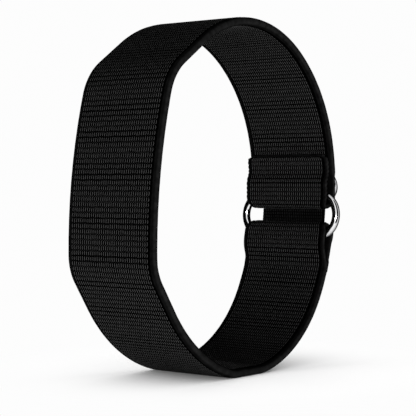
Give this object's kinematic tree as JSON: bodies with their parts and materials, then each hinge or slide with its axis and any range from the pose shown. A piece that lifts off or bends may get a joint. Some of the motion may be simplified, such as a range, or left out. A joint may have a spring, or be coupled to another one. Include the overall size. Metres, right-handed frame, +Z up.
{
  "type": "esd wrist strap",
  "caption": "Black woven wrist band with a flattened side, folded round a chrome wire ring, with a narrow threaded tail and a small keeper ring.",
  "frame": {"origin": "centre of the flat foot that the band stands on, halfway across its width", "axes": "+Z up, +X level towards the buckle, +Y across the band's width, away from the picture's near rim"},
  "size_m": [0.0593, 0.0234, 0.0652],
  "materials": {
    "core": "matt",
    "weave": "woven",
    "webbing": "woven",
    "hook_and_loop": "napped",
    "thread": "satin",
    "wire": "polished"
  },
  "bodies": {
    "strap": {"band_core": "core", "outer_facing": "weave", "inner_facing": "weave", "buckle_ring": "wire", "tab_loop": "hook_and_loop", "tail_strap": "webbing", "tail_loop": "hook_and_loop", "keeper_loop": "webbing", "fold_stitches": "thread", "keeper_stitches": "thread"},
    "tab": {"tab_core": "core", "tab_facing": "weave", "tab_hook": "hook_and_loop"},
    "flap": {"tail_flap": "webbing", "tail_hook": "hook_and_loop", "flap_stitches": "thread"},
    "keeper": {"keeper_ring": "wire"}
  },
  "joints": [
    {"name": "tab_peel", "type": "hinge", "parent": "strap", "child": "tab", "pos_m": [0.02523, 0, 0.03446], "axis": [0, -1, 0], "range_deg": [0, 75]},
    {"name": "flap_peel", "type": "hinge", "parent": "strap", "child": "flap", "pos_m": [0.03116, 0, 0.03867], "axis": [0, 1, 0], "range_deg": [0, 80]},
    {"name": "keeper_swing", "type": "hinge", "parent": "strap", "child": "keeper", "pos_m": [0.02956, 0, 0.03764], "axis": [0, -1, 0], "range_deg": [-8, 12]}
  ]
}
